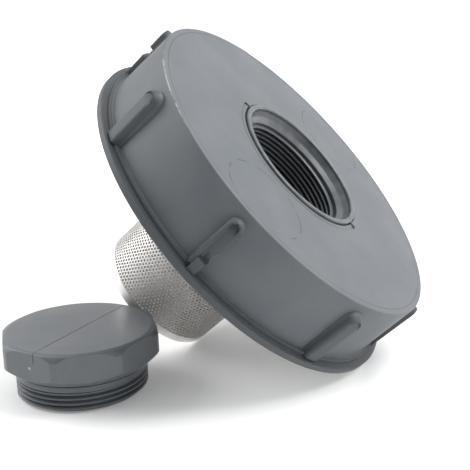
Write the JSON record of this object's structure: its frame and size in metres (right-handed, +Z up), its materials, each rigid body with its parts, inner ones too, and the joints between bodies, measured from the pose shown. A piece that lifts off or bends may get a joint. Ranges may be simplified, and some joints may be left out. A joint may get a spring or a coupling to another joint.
{
  "type": "tank lid foot valve",
  "caption": "Screw-on tank lid with a threaded pipe port, a spring check valve in a perforated strainer below it, and a loose octagon port plug.",
  "frame": {"origin": "centre of the footprint's bounding box, on the surface that the lid's rim, the strainer's end and the plug rest on", "axes": "+Z up; +X is the level direction in which the tilted lid's face leans; +Y completes the right-handed frame, level and across the lid's axis, along the longest side of the whole"},
  "size_m": [0.1774, 0.1976, 0.1568],
  "materials": {
    "lid_plastic": "moulded grey polypropylene, fine matte texture",
    "port_plastic": "machined grey polypropylene, satin",
    "plug_plastic": "moulded grey polypropylene, satin",
    "valve_plastic": "moulded dark grey polypropylene",
    "seal_rubber": "black EPDM",
    "strainer_steel": "perforated stainless sheet, dull, lightly stained",
    "cap_steel": "pressed stainless, dull satin",
    "valve_steel": "turned stainless",
    "spring_steel": "drawn stainless wire"
  },
  "bodies": {
    "lid_assembly": {"lid_cap": "lid_plastic", "lid_gasket": "seal_rubber", "port_bush": "port_plastic", "bush_gasket": "seal_rubber", "bush_lock_nut": "valve_plastic", "valve_body": "valve_plastic", "body_gasket": "seal_rubber", "seat_ring": "valve_steel", "upper_guide": "valve_plastic", "guide_retaining_ring": "spring_steel", "lower_guide": "valve_plastic", "guide_screws": "valve_steel", "poppet_spring": "spring_steel", "strainer_collar": "cap_steel", "strainer_sleeve": "strainer_steel", "collar_screws": "valve_steel", "strainer_end_cap": "cap_steel"},
    "poppet": {"poppet_disc": "valve_steel", "poppet_seal": "seal_rubber", "seal_washer": "valve_steel", "poppet_nut": "valve_steel", "poppet_stem": "valve_steel"},
    "plug": {"plug_body": "plug_plastic", "plug_seal": "seal_rubber"}
  },
  "joints": [
    {"name": "poppet_lift", "type": "slide", "parent": "lid_assembly", "child": "poppet", "axis": [0.7459, 0, 0.666], "range_m": [0, 0.008], "stiffness_N_per_m": 120, "springref_m": -0.012, "deforming": ["poppet_spring"]},
    {"name": "plug_lift", "type": "slide", "parent": "lid_assembly", "child": "plug", "axis": [0, 0, 1], "range_m": [0, 0.06]}
  ]
}
